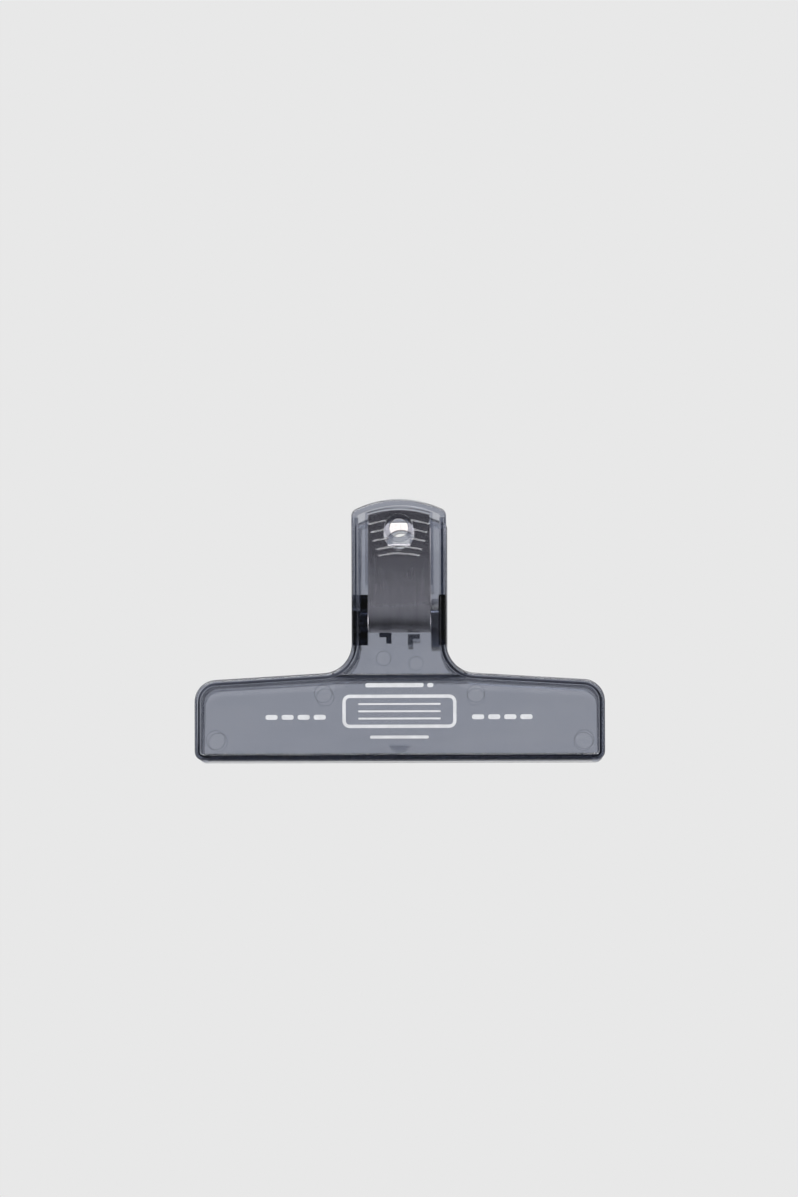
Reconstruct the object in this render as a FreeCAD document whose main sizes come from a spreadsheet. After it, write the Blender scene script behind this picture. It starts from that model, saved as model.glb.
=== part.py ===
import FreeCAD, Part
import math
import os
import Sketcher

# Wide plastic bulldog clip: two identical levers, face to face, on moulded
# stub pins, pushed apart at the handles by one U-shaped leaf spring.
#
# Frame: X across the jaws, Y through the clip (front lever on the -Y side),
# Z up from the closed jaws' flat bottom to the handles' tips. Y = 0 is the
# plane where the jaws meet.
#
# Each lever is drawn in its own frame: x across, z up the plate, and the
# plate's inner face on y = 0, with the outside of the clip on the -y side.

doc = FreeCAD.newDocument("BinderClip")
sheet = doc.addObject("Spreadsheet::Sheet", "Dims")

CELLS = [
    # outline of the lever
    ("jaw_half", 67.6, "half width of the jaw plate"),
    ("handle_half", 15.65, "half width of the handle"),
    ("lever_length", 86.0, "jaw bottom to handle tip along the plate"),
    ("foot_radius", 3.0, "jaw bottom corners"),
    ("jaw_radius", 7.25, "jaw upper corners"),
    ("neck_radius", 9.7, "fillet between handle and jaw"),
    ("tip_radius", 2.6, "handle tip corners"),
    ("crown_radius", 33.0, "arc across the handle tip"),
    ("shoulder_height", 30.2, "shoulder line extended to the middle"),
    ("shoulder_slope", 3.43, "fall of the shoulder, degrees"),
    # section of the lever
    ("panel_thickness", 1.8, "recessed panel"),
    ("rim_height", 1.5, "rim above the panel, outside"),
    ("rim_width", 2.0, "rim all round"),
    ("rim_round", 0.9, "round on the rim's outer edge"),
    ("rim_soft", 0.3, "round on the rim's inner edge"),
    ("floor_fillet", 0.3, "fillet between rim and panel"),
    ("skirt_start", 1.0, "inner wall, set in from the outline"),
    ("skirt_end", 2.1, "inner wall, far side"),
    ("skirt_depth", 2.6, "inner wall, height"),
    ("skirt_top", 80.0, "inner wall stops below the handle's tip"),
    ("divider_low", 26.9, "rib across the neck, lower edge"),
    ("divider_high", 28.5, "rib across the neck, upper edge"),
    ("divider_half", 22.3, "rib across the neck, half length"),
    ("divider_height", 1.35, "rib above the panel"),
    ("divider_round", 0.55, "rounds along the rib's crest"),
    ("hole_height", 76.55, "hanging hole"),
    ("hole_radius", 3.05, "hanging hole"),
    ("boss_radius", 4.8, "ring round the hanging hole"),
    ("boss_height", 0.9, "ring above the panel"),
    ("groove_width", 1.35, "grip groove, at the surface"),
    ("groove_depth", 0.32, "grip groove below the panel"),
    ("groove_slope", 61.0, "lean of the groove's sides off square, degrees"),
    # pivot
    ("pivot_inset", 8.9, "pivot axis behind the plate's inner face"),
    ("pivot_up", 46.2, "pivot axis above the jaw bottom, on the plate"),
    ("pivot_world", 47.3, "pivot axis above the base plane"),
    ("lever_tilt", 7.0, "each lever off the middle plane, degrees"),
    ("lug_half", 8.35, "half height of a lug's root"),
    ("lug_end", 5.5, "radius of a lug's end"),
    ("lug_shoulder", 5.0, "depth to which a lug keeps its full height"),
    ("inner_lug_near", 10.4, "pierced lug, side near the middle"),
    ("inner_lug_far", 12.95, "pierced lug, outer side"),
    ("outer_lug_near", 13.05, "lug with the stub, inner side"),
    ("outer_lug_far", 15.4, "lug with the stub, outer side"),
    ("stub_radius", 2.65, "moulded stub pin"),
    ("stub_end", 10.5, "end of the stub pin, off the middle"),
    ("bore_radius", 2.7, "bore in the pierced lug"),
    ("pad_depth", 4.6, "pad that widens the pierced lug's root"),
    ("pad_recess", 5.9, "round hollow in that pad, for the other lever's lug"),
    # inside details
    ("lip_gap", 0.1, "each lip's face off the middle plane"),
    ("lip_half", 63.5, "half length of the grip lip"),
    ("lip_top", 1.9, "height of the lip's face"),
    ("hook_depth", 6.4, "L-shaped hook under the spring"),
    ("fence_near", 10.35, "wall beside the spring leg, near side"),
    ("fence_far", 11.15, "wall beside the spring leg, far side"),
    ("fence_low", 57.7, "wall beside the spring leg, lower end"),
    ("fence_top", 82.95, "arc over the leg's end, inside"),
    ("fence_depth", 1.5, "wall above the inner face"),
    ("mark_depth", 0.15, "ejector pin marks"),
    # leaf spring
    ("spring_width", 20.4, "strip width"),
    ("spring_thick", 0.8, "strip thickness"),
    ("bend_radius", 9.42, "outside of the bend"),
    ("bend_drop", 4.1, "bend's bottom below the pivot axis"),
    ("leg_reach", 31.8, "leg's straight run above the bend, before its end is cut"),
    ("leg_top", 82.35, "apex of the leg's arched end above the base plane"),
    ("leg_hole", 5.1, "hole near the leg's end"),
    ("leg_hole_up", 74.55, "that hole above the base plane"),
    ("leg_corner", 1.5, "rounded corners of the leg's end"),
]
V = {}
for i, (alias, value, note) in enumerate(CELLS, start=1):
    sheet.set("A%d" % i, alias)
    sheet.set("B%d" % i, repr(value))
    sheet.set("C%d" % i, note)
    sheet.setAlias("B%d" % i, alias)
    V[alias] = value
doc.recompute()

RAD = math.pi / 180.0


def vec(x, y):
    return FreeCAD.Vector(x, y, 0)


def arc(cx, cy, r, a0, a1):
    """Counter-clockwise arc, angles in radians."""
    return Part.ArcOfCircle(Part.Circle(vec(cx, cy), FreeCAD.Vector(0, 0, 1), r), a0, a1)


def plane(body, role):
    return [f for f in body.Origin.OriginFeatures if f.Role == role][0]


def sketch_on(body, name, role, offset=None):
    sk = body.newObject("Sketcher::SketchObject", name)
    sk.AttachmentSupport = [(plane(body, role), "")]
    sk.MapMode = "FlatFace"
    if offset is not None:
        sk.setExpression("AttachmentOffset.Base.z", offset)
    return sk


def dim(sk, name, constraint, expr):
    i = sk.addConstraint(constraint)
    sk.renameConstraint(i, name)
    sk.setExpression("Constraints." + name, expr)
    return i


def touch(sk, *joints):
    for g1, p1, g2, p2 in joints:
        sk.addConstraint(Sketcher.Constraint("Tangent", g1, p1, g2, p2))


def corners():
    """Centres of the outline's corner arcs; offsets of the outline share them."""
    b = V["shoulder_slope"] * RAD
    sb, cb = math.sin(b), math.cos(b)
    c = V["shoulder_height"] * cb
    W, H = V["jaw_half"], V["handle_half"]
    foot = (W - V["foot_radius"], V["foot_radius"])
    ju = W - V["jaw_radius"]
    jaw = (ju, (c - V["jaw_radius"] - ju * sb) / cb)
    nu = H + V["neck_radius"]
    neck = (nu, (c + V["neck_radius"] - nu * sb) / cb)
    crown = (0.0, V["lever_length"] - V["crown_radius"])
    tu = H - V["tip_radius"]
    reach = V["crown_radius"] - V["tip_radius"]
    tip = (tu, crown[1] + math.sqrt(reach * reach - tu * tu))
    return b, foot, jaw, neck, tip, crown


def outline(sk, tag, inset):
    """Closed T-shaped outline, set in from the lever's edge by the cell
    named inset (None for the edge itself). Fully dimensioned."""
    k = V[inset] if inset else 0.0
    less = " - Dims.%s" % inset if inset else ""
    more = " + Dims.%s" % inset if inset else ""
    b, foot, jaw, neck, tip, crown = corners()
    W, H = V["jaw_half"] - k, V["handle_half"] - k
    rf, rj = V["foot_radius"] - k, V["jaw_radius"] - k
    rn, rt, rc = V["neck_radius"] + k, V["tip_radius"] - k, V["crown_radius"] - k
    g = math.atan2(tip[1] - crown[1], tip[0])
    up = math.pi / 2
    sb, cb = math.sin(b), math.cos(b)
    jaw_pt = (jaw[0] + rj * sb, jaw[1] + rj * cb)
    neck_pt = (neck[0] - rn * sb, neck[1] - rn * cb)
    n = sk.GeometryCount
    geo = [
        Part.LineSegment(vec(-foot[0], k), vec(foot[0], k)),                 # 0 bottom
        arc(foot[0], foot[1], rf, -up, 0),                                   # 1 right foot
        Part.LineSegment(vec(W, foot[1]), vec(W, jaw[1])),                   # 2 right side
        arc(jaw[0], jaw[1], rj, 0, up - b),                                  # 3 right jaw corner
        Part.LineSegment(vec(*jaw_pt), vec(*neck_pt)),                       # 4 right shoulder
        arc(neck[0], neck[1], rn, math.pi, 3 * up - b),                      # 5 right neck
        Part.LineSegment(vec(H, neck[1]), vec(H, tip[1])),                   # 6 right handle side
        arc(tip[0], tip[1], rt, 0, g),                                       # 7 right tip corner
        arc(0, crown[1], rc, g, math.pi - g),                                # 8 crown
        arc(-tip[0], tip[1], rt, math.pi - g, math.pi),                      # 9 left tip corner
        Part.LineSegment(vec(-H, tip[1]), vec(-H, neck[1])),                 # 10 left handle side
        arc(-neck[0], neck[1], rn, -up + b, 0),                              # 11 left neck
        Part.LineSegment(vec(-jaw_pt[0], jaw_pt[1]), vec(-neck_pt[0], neck_pt[1])),  # 12 left shoulder
        arc(-jaw[0], jaw[1], rj, up + b, math.pi),                           # 13 left jaw corner
        Part.LineSegment(vec(-W, jaw[1]), vec(-W, foot[1])),                 # 14 left side
        arc(-foot[0], foot[1], rf, math.pi, 3 * up),                         # 15 left foot
    ]
    sk.addGeometry(geo, False)
    q = lambda i: n + i
    touch(sk,
          (q(0), 2, q(1), 1), (q(1), 2, q(2), 1), (q(2), 2, q(3), 1), (q(3), 2, q(4), 1),
          (q(4), 2, q(5), 2), (q(5), 1, q(6), 1), (q(6), 2, q(7), 1), (q(7), 2, q(8), 1),
          (q(8), 2, q(9), 1), (q(9), 2, q(10), 1), (q(10), 2, q(11), 2), (q(11), 1, q(12), 2),
          (q(12), 1, q(13), 1), (q(13), 2, q(14), 1), (q(14), 2, q(15), 1), (q(15), 2, q(0), 1))
    C = Sketcher.Constraint
    sk.addConstraint(C("Horizontal", q(0)))
    for i in (2, 14, 6, 10):
        sk.addConstraint(C("Vertical", q(i)))
    if inset:
        dim(sk, tag + "_bottom", C("DistanceY", -1, 1, q(0), 1, k), "Dims." + inset)
    else:
        sk.addConstraint(C("PointOnObject", q(0), 1, -1))
    dim(sk, tag + "_side_r", C("DistanceX", -1, 1, q(2), 1, W), "Dims.jaw_half" + less)
    dim(sk, tag + "_side_l", C("DistanceX", q(14), 1, -1, 1, W), "Dims.jaw_half" + less)
    dim(sk, tag + "_grip_r", C("DistanceX", -1, 1, q(6), 1, H), "Dims.handle_half" + less)
    dim(sk, tag + "_grip_l", C("DistanceX", q(10), 1, -1, 1, H), "Dims.handle_half" + less)
    for i, key, r, sign in ((1, "foot_radius", rf, less), (15, "foot_radius", rf, less),
                            (3, "jaw_radius", rj, less), (13, "jaw_radius", rj, less),
                            (5, "neck_radius", rn, more), (11, "neck_radius", rn, more),
                            (7, "tip_radius", rt, less), (9, "tip_radius", rt, less),
                            (8, "crown_radius", rc, less)):
        dim(sk, "%s_%s_%d" % (tag, key, i), C("Radius", q(i), r), "Dims." + key + sign)
    sk.addConstraint(C("PointOnObject", q(8), 3, -2))
    dim(sk, tag + "_crown", C("DistanceY", -1, 1, q(8), 3, crown[1]),
        "Dims.lever_length - Dims.crown_radius")
    c = V["shoulder_height"] * cb - k
    rise = "Dims.shoulder_height * cos(Dims.shoulder_slope * 1deg)" + less
    dim(sk, tag + "_slope_r", C("Angle", q(4), math.pi - b), "(180 - Dims.shoulder_slope) * 1deg")
    dim(sk, tag + "_slope_l", C("Angle", q(12), b), "Dims.shoulder_slope * 1deg")
    dim(sk, tag + "_rise_r", C("Distance", -1, 1, q(4), c), rise)
    dim(sk, tag + "_rise_l", C("Distance", -1, 1, q(12), c), rise)
    return sk


def polygon(sk, pts, horizontal=(), vertical=()):
    n = sk.GeometryCount
    m = len(pts)
    sk.addGeometry([Part.LineSegment(vec(*pts[i]), vec(*pts[(i + 1) % m])) for i in range(m)], False)
    for i in range(m):
        sk.addConstraint(Sketcher.Constraint("Coincident", n + i, 2, n + (i + 1) % m, 1))
    for i in horizontal:
        sk.addConstraint(Sketcher.Constraint("Horizontal", n + i))
    for i in vertical:
        sk.addConstraint(Sketcher.Constraint("Vertical", n + i))
    return n


def at_x(sk, name, geo, pos, value, expr):
    """Signed distance of a point from the vertical axis."""
    if value >= 0:
        dim(sk, name, Sketcher.Constraint("DistanceX", -1, 1, geo, pos, value), expr)
    else:
        dim(sk, name, Sketcher.Constraint("DistanceX", geo, pos, -1, 1, -value), "-(" + expr + ")")


def at_y(sk, name, geo, pos, value, expr):
    if value >= 0:
        dim(sk, name, Sketcher.Constraint("DistanceY", -1, 1, geo, pos, value), expr)
    else:
        dim(sk, name, Sketcher.Constraint("DistanceY", geo, pos, -1, 1, -value), "-(" + expr + ")")


def circle(sk, tag, x, xexpr, y, yexpr, r, rexpr):
    g = sk.addGeometry(Part.Circle(vec(x, y), FreeCAD.Vector(0, 0, 1), r), False)
    dim(sk, tag + "_r", Sketcher.Constraint("Radius", g, r), rexpr)
    if x == 0:
        sk.addConstraint(Sketcher.Constraint("PointOnObject", g, 3, -2))
    else:
        at_x(sk, tag + "_x", g, 3, x, xexpr)
    at_y(sk, tag + "_y", g, 3, y, yexpr)
    return g


def pad(body, name, sk, length, inward=False, middle=False):
    f = body.newObject("PartDesign::Pad", name)
    f.Profile = sk
    f.setExpression("Length", length)
    f.Reversed = inward
    f.Midplane = middle
    doc.recompute()
    return f


def pocket(body, name, sk, length, away=False, middle=False):
    before = body.Shape.Volume
    f = body.newObject("PartDesign::Pocket", name)
    f.Profile = sk
    f.setExpression("Length", length)
    f.Reversed = away
    f.Midplane = middle
    doc.recompute()
    cut = before - body.Shape.Volume
    print("   %-16s cuts %8.3f mm3" % (name, cut))
    if cut < 0.01:
        raise RuntimeError(name + " cuts nothing")
    return f


def fillet(body, name, radius, pick):
    tip = body.Tip
    names = ["Edge%d" % i for i, e in enumerate(tip.Shape.Edges, start=1) if pick(e)]
    f = body.newObject("PartDesign::Fillet", name)
    f.Base = (tip, names)
    f.setExpression("Radius", radius)
    doc.recompute()
    ok = "Invalid" not in f.State and "Error" not in f.State and f.Shape.isValid() \
        and len(f.Shape.Solids) == 1
    print("   %-16s %3d edges %s" % (name, len(names), "ok" if ok else "FAILED"))
    if not ok:
        raise RuntimeError(name + " failed")
    return f


def on_plane_y(e, y, tol=1e-4):
    b = e.BoundBox
    return abs(b.YMin - y) < tol and abs(b.YMax - y) < tol


def build_lever(label):
    print(label)
    body = doc.addObject("PartDesign::Body", label)
    body.Label = label
    T = V["panel_thickness"]
    top = T + V["rim_height"]

    # the plate at full height, its outer edge rounded
    sk = sketch_on(body, label + "_edge", "XZ_Plane")
    outline(sk, "edge", None)
    pad(body, label + "_plate", sk, "Dims.panel_thickness + Dims.rim_height")
    fillet(body, label + "_rim_round", "Dims.rim_round", lambda e: on_plane_y(e, -top))

    # the recess that leaves the rim standing round the panel
    sk = sketch_on(body, label + "_rim", "XZ_Plane", "Dims.panel_thickness + Dims.rim_height")
    outline(sk, "rim", "rim_width")
    pocket(body, label + "_recess", sk, "Dims.rim_height")
    fillet(body, label + "_floor", "Dims.floor_fillet", lambda e: on_plane_y(e, -T))

    def rim_inner(e):
        # of the rim's two top loops, the one whose wall is square to the panel
        if not on_plane_y(e, -top):
            return False
        for f in body.Tip.Shape.Faces:
            if any(x.isSame(e) for x in f.Edges):
                u0, u1, v0, v1 = f.ParameterRange
                nrm = f.normalAt((u0 + u1) / 2, (v0 + v1) / 2)
                if abs(nrm.y) < 1e-6:
                    return True
        return False

    fillet(body, label + "_rim_soft", "Dims.rim_soft", rim_inner)

    # rib across the neck, between the jaw's panel and the handle's
    sk = sketch_on(body, label + "_divider_line", "XZ_Plane", "Dims.panel_thickness - 0.3")
    lo, hi, hw = V["divider_low"], V["divider_high"], V["divider_half"]
    n = polygon(sk, [(-hw, lo), (hw, lo), (hw, hi), (-hw, hi)], (0, 2), (1, 3))
    at_x(sk, "left", n, 1, -hw, "-Dims.divider_half")
    at_x(sk, "right", n + 2, 1, hw, "Dims.divider_half")
    at_y(sk, "low", n, 1, lo, "Dims.divider_low")
    at_y(sk, "high", n + 2, 1, hi, "Dims.divider_high")
    pad(body, label + "_divider", sk, "Dims.divider_height + 0.3")
    crest = T + V["divider_height"]
    fillet(body, label + "_divider_crest", "Dims.divider_round",
           lambda e: on_plane_y(e, -crest) and e.BoundBox.XLength > 30)

    # the same rib on the inside, as deep as the wall round the plate
    sk = sketch_on(body, label + "_inner_divider_line", "XZ_Plane")
    n = polygon(sk, [(-hw, lo), (hw, lo), (hw, hi), (-hw, hi)], (0, 2), (1, 3))
    at_x(sk, "left", n, 1, -hw, "-Dims.divider_half")
    at_x(sk, "right", n + 2, 1, hw, "Dims.divider_half")
    at_y(sk, "low", n, 1, lo, "Dims.divider_low")
    at_y(sk, "high", n + 2, 1, hi, "Dims.divider_high")
    pad(body, label + "_inner_divider", sk, "Dims.skirt_depth", inward=True)

    # six curved grip grooves, each an arc-shaped slot with round ends
    sk = sketch_on(body, label + "_groove_lines", "XZ_Plane", "Dims.panel_thickness")
    half = V["groove_width"] / 2
    for i, (apex, R, reach) in enumerate(((82.6, 33.6, 9.9), (79.7, 33.0, 9.7), (76.8, 31.6, 9.0),
                                          (73.8, 30.1, 8.1), (70.8, 28.6, 7.25), (68.6, 27.4, 6.4))):
        a = math.asin(reach / R)
        cy = apex - R
        up = math.pi / 2
        ex, ey = R * math.sin(a), cy + R * math.cos(a)
        n = sk.GeometryCount
        sk.addGeometry([arc(0, cy, R + half, up - a, up + a),
                        arc(-ex, ey, half, up + a, up + a + math.pi),
                        arc(0, cy, R - half, up - a, up + a),
                        arc(ex, ey, half, up - a - math.pi, up - a)], False)
        touch(sk, (n, 2, n + 1, 1), (n + 1, 2, n + 2, 2), (n + 2, 1, n + 3, 1), (n + 3, 2, n, 1))
        C = Sketcher.Constraint
        sk.addConstraint(C("Coincident", n, 3, n + 2, 3))
        sk.addConstraint(C("PointOnObject", n, 3, -2))
        dim(sk, "groove%d_up" % i, C("DistanceY", -1, 1, n, 3, cy), "%r" % cy)
        dim(sk, "groove%d_out" % i, C("Radius", n, R + half), "%r + Dims.groove_width / 2" % R)
        dim(sk, "groove%d_end" % i, C("Radius", n + 1, half), "Dims.groove_width / 2")
        dim(sk, "groove%d_right" % i, C("DistanceX", -1, 1, n + 3, 3, ex), "%r" % reach)
        dim(sk, "groove%d_left" % i, C("DistanceX", n + 1, 3, -1, 1, ex), "%r" % reach)
    slots = pocket(body, label + "_grooves", sk, "Dims.groove_depth")
    straight = body.Shape.Volume
    slots.setExpression("TaperAngle", "-Dims.groove_slope * 1deg")
    doc.recompute()
    print("   grooves: sloping sides leave %.2f mm3 more, valid %s, solids %d"
          % (body.Shape.Volume - straight, body.Shape.isValid(), len(body.Shape.Solids)))
    if not (body.Shape.isValid() and 0 < body.Shape.Volume - straight < 60):
        raise RuntimeError("groove sides failed")

    # ring round the hanging hole
    sk = sketch_on(body, label + "_boss_line", "XZ_Plane", "Dims.panel_thickness - 0.7")
    circle(sk, "boss", 0, "0", V["hole_height"], "Dims.hole_height", V["boss_radius"], "Dims.boss_radius")
    pad(body, label + "_boss", sk, "Dims.boss_height + 0.7")

    # wall round the inside of the plate
    sk = sketch_on(body, label + "_skirt_lines", "XZ_Plane")
    outline(sk, "near", "skirt_start")
    outline(sk, "far", "skirt_end")
    pad(body, label + "_skirt", sk, "Dims.skirt_depth", inward=True)
    sk = sketch_on(body, label + "_skirt_end", "XZ_Plane")
    lo, hi, hw = V["skirt_top"], V["lever_length"] + 4, V["handle_half"] + 4
    n = polygon(sk, [(-hw, lo), (hw, lo), (hw, hi), (-hw, hi)], (0, 2), (1, 3))
    at_x(sk, "left", n, 1, -hw, "-(Dims.handle_half + 4)")
    at_x(sk, "right", n + 2, 1, hw, "Dims.handle_half + 4")
    at_y(sk, "low", n, 1, lo, "Dims.skirt_top")
    at_y(sk, "high", n + 2, 1, hi, "Dims.lever_length + 4")
    pocket(body, label + "_skirt_open", sk, "Dims.skirt_depth + 1")

    # grip lip along the jaw's bottom. Its flat bottom lies on the base plane
    # and its face stands upright beside the middle plane once the lever is
    # tilted, so both are drawn in the clip's frame and turned into the lever's.
    t = V["lever_tilt"] * RAD
    ct, st = math.cos(t), math.sin(t)

    def local(y, z):
        dy, dz = y, z - V["pivot_world"]
        return (ct * dy + st * dz + V["pivot_inset"], -st * dy + ct * dz + V["pivot_up"])

    face = -V["lip_gap"]
    lip = [local(face, 0.0), local(face, V["lip_top"]), local(-1.2, V["lip_top"] + 0.1)]
    back = local(-3.55, 0.0)
    lip += [(-0.4, lip[2][1] + 0.15), (-0.4, back[1] + 0.5), back]
    sk = sketch_on(body, label + "_lip_line", "YZ_Plane")
    n = polygon(sk, lip)
    for i, (y, z) in enumerate(lip):
        at_x(sk, "lip_y%d" % i, n + i, 1, y, lip_expr(y, z, i)[0])
        at_y(sk, "lip_z%d" % i, n + i, 1, z, lip_expr(y, z, i)[1])
    pad(body, label + "_lip", sk, "2 * Dims.lip_half", middle=True)

    # pad that widens the root of the pierced lug out to the plate's edge
    sk = sketch_on(body, label + "_pad_line", "XZ_Plane")
    lo, hi = V["pivot_up"] - V["lug_half"], V["pivot_up"] + V["lug_half"]
    xa, xb = -V["outer_lug_far"], -V["inner_lug_near"]
    n = polygon(sk, [(xa, lo), (xb, lo), (xb, hi), (xa, hi)], (0, 2), (1, 3))
    at_x(sk, "pad_out", n, 1, xa, "-Dims.outer_lug_far")
    at_x(sk, "pad_near", n + 2, 1, xb, "-Dims.inner_lug_near")
    at_y(sk, "pad_low", n, 1, lo, "Dims.pivot_up - Dims.lug_half")
    at_y(sk, "pad_high", n + 2, 1, hi, "Dims.pivot_up + Dims.lug_half")
    pad(body, label + "_pad", sk, "Dims.pad_depth", inward=True)
    sk = sketch_on(body, label + "_pad_hollow", "YZ_Plane", "-Dims.inner_lug_far")
    circle(sk, "hollow", V["pivot_inset"], "Dims.pivot_inset", V["pivot_up"], "Dims.pivot_up",
           V["pad_recess"], "Dims.pad_recess")
    pocket(body, label + "_pad_recess", sk, "Dims.outer_lug_far - Dims.inner_lug_far + 0.3")

    # the two lugs: square roots, then flanks tangent to a round end
    def lug(name, offset, length):
        sk = sketch_on(body, label + "_" + name + "_line", "YZ_Plane", offset)
        d, vp, r, hh = V["pivot_inset"], V["pivot_up"], V["lug_end"], V["lug_half"]
        px, py = V["lug_shoulder"], hh
        dist = math.hypot(d - px, py)
        to = math.atan2(py, px - d)                  # from the axis to the upper shoulder
        a = to - math.acos(r / dist)                 # upper tangent point
        tx, ty = d + r * math.cos(a), r * math.sin(a)
        g = [Part.LineSegment(vec(-0.3, vp - hh), vec(px, vp - hh)),
             Part.LineSegment(vec(px, vp - hh), vec(tx, vp - ty)),
             arc(d, vp, r, -a, a),
             Part.LineSegment(vec(tx, vp + ty), vec(px, vp + hh)),
             Part.LineSegment(vec(px, vp + hh), vec(-0.3, vp + hh)),
             Part.LineSegment(vec(-0.3, vp + hh), vec(-0.3, vp - hh))]
        sk.addGeometry(g, False)
        C = Sketcher.Constraint
        sk.addConstraint(C("Coincident", 0, 2, 1, 1))
        sk.addConstraint(C("Coincident", 3, 2, 4, 1))
        sk.addConstraint(C("Coincident", 4, 2, 5, 1))
        sk.addConstraint(C("Coincident", 5, 2, 0, 1))
        touch(sk, (1, 2, 2, 1), (2, 2, 3, 1))
        sk.addConstraint(C("Horizontal", 0))
        sk.addConstraint(C("Horizontal", 4))
        sk.addConstraint(C("Vertical", 5))
        dim(sk, "root", C("DistanceX", 0, 1, -1, 1, 0.3), "0.3")
        dim(sk, "pad_low", C("DistanceX", -1, 1, 0, 2, px), "Dims.lug_shoulder")
        dim(sk, "pad_high", C("DistanceX", -1, 1, 4, 1, px), "Dims.lug_shoulder")
        dim(sk, "low", C("DistanceY", -1, 1, 0, 1, vp - hh), "Dims.pivot_up - Dims.lug_half")
        dim(sk, "high", C("DistanceY", -1, 1, 4, 1, vp + hh), "Dims.pivot_up + Dims.lug_half")
        dim(sk, "axis_y", C("DistanceX", -1, 1, 2, 3, d), "Dims.pivot_inset")
        dim(sk, "axis_z", C("DistanceY", -1, 1, 2, 3, vp), "Dims.pivot_up")
        dim(sk, "end", C("Radius", 2, r), "Dims.lug_end")
        return pad(body, label + "_" + name, sk, length)

    lug("stub_lug", "Dims.outer_lug_near", "Dims.outer_lug_far - Dims.outer_lug_near")
    lug("pierced_lug", "-Dims.inner_lug_far", "Dims.inner_lug_far - Dims.inner_lug_near")

    # bore through the pierced lug
    sk = sketch_on(body, label + "_bore_line", "YZ_Plane", "-Dims.inner_lug_near + 0.2")
    circle(sk, "bore", V["pivot_inset"], "Dims.pivot_inset", V["pivot_up"], "Dims.pivot_up",
           V["bore_radius"], "Dims.bore_radius")
    pocket(body, label + "_bore", sk, "Dims.inner_lug_far - Dims.inner_lug_near + 0.4")

    # stub pin on the other lug, pointing to the middle of the clip
    sk = sketch_on(body, label + "_stub_line", "YZ_Plane", "Dims.outer_lug_near + 0.3")
    circle(sk, "stub", V["pivot_inset"], "Dims.pivot_inset", V["pivot_up"], "Dims.pivot_up",
           V["stub_radius"], "Dims.stub_radius")
    pad(body, label + "_stub", sk, "Dims.outer_lug_near - Dims.stub_end + 0.3", inward=True)
    end = V["stub_end"]
    fillet(body, label + "_stub_round", "0.35",
           lambda e: abs(e.BoundBox.XMin - end) < 1e-4 and abs(e.BoundBox.XMax - end) < 1e-4)

    # L-shaped hook under the spring's bend
    sk = sketch_on(body, label + "_hook_line", "XZ_Plane")
    hook = [(-6.6, 42.0), (-6.6, 40.5), (-4.3, 40.5), (-4.3, 38.4), (-2.6, 38.4), (-2.6, 42.0)]
    n = polygon(sk, hook, (1, 3, 5), (0, 2, 4))
    for i, key in ((0, "a"), (2, "b"), (4, "c")):
        at_x(sk, "hook_x" + key, n + i, 1, hook[i][0], "%r" % hook[i][0])
    for i, key in ((1, "a"), (3, "b"), (5, "c")):
        at_y(sk, "hook_z" + key, n + i, 1, hook[i][1], "%r" % hook[i][1])
    pad(body, label + "_hook", sk, "Dims.hook_depth", inward=True)

    # fence round the spring leg: two sides and an arc over the leg's end
    sk = sketch_on(body, label + "_fence_line", "XZ_Plane")
    a, b = V["fence_near"], V["fence_far"]
    lo, ft, rc = V["fence_low"], V["fence_top"], V["crown_radius"]
    wall = b - a
    ri, ro = rc, rc + wall
    cy = ft - rc
    zi, zo = cy + math.sqrt(ri * ri - a * a), cy + math.sqrt(ro * ro - b * b)
    gi, go = math.acos(a / ri), math.acos(b / ro)
    sk.addGeometry([Part.LineSegment(vec(a, lo), vec(b, lo)),
                    Part.LineSegment(vec(b, lo), vec(b, zo)),
                    arc(0, cy, ro, go, math.pi - go),
                    Part.LineSegment(vec(-b, zo), vec(-b, lo)),
                    Part.LineSegment(vec(-b, lo), vec(-a, lo)),
                    Part.LineSegment(vec(-a, lo), vec(-a, zi)),
                    arc(0, cy, ri, gi, math.pi - gi),
                    Part.LineSegment(vec(a, zi), vec(a, lo))], False)
    C = Sketcher.Constraint
    for g1, p1, g2, p2 in ((0, 2, 1, 1), (1, 2, 2, 1), (2, 2, 3, 1), (3, 2, 4, 1), (4, 2, 5, 1),
                           (5, 2, 6, 2), (6, 1, 7, 1), (7, 2, 0, 1)):
        sk.addConstraint(C("Coincident", g1, p1, g2, p2))
    for g in (0, 4):
        sk.addConstraint(C("Horizontal", g))
    for g in (1, 3, 5, 7):
        sk.addConstraint(C("Vertical", g))
    sk.addConstraint(C("Coincident", 2, 3, 6, 3))
    sk.addConstraint(C("PointOnObject", 2, 3, -2))
    dim(sk, "arc_in", C("Radius", 6, ri), "Dims.crown_radius")
    dim(sk, "arc_out", C("Radius", 2, ro), "Dims.crown_radius + Dims.fence_far - Dims.fence_near")
    dim(sk, "arc_up", C("DistanceY", -1, 1, 2, 3, cy), "Dims.fence_top - Dims.crown_radius")
    at_x(sk, "fence_ra", 0, 1, a, "Dims.fence_near")
    at_x(sk, "fence_rb", 0, 2, b, "Dims.fence_far")
    at_x(sk, "fence_lb", 4, 1, -b, "-Dims.fence_far")
    at_x(sk, "fence_la", 4, 2, -a, "-Dims.fence_near")
    at_y(sk, "fence_rlow", 0, 1, lo, "Dims.fence_low")
    at_y(sk, "fence_llow", 4, 1, lo, "Dims.fence_low")
    pad(body, label + "_fence", sk, "Dims.fence_depth", inward=True)

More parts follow.
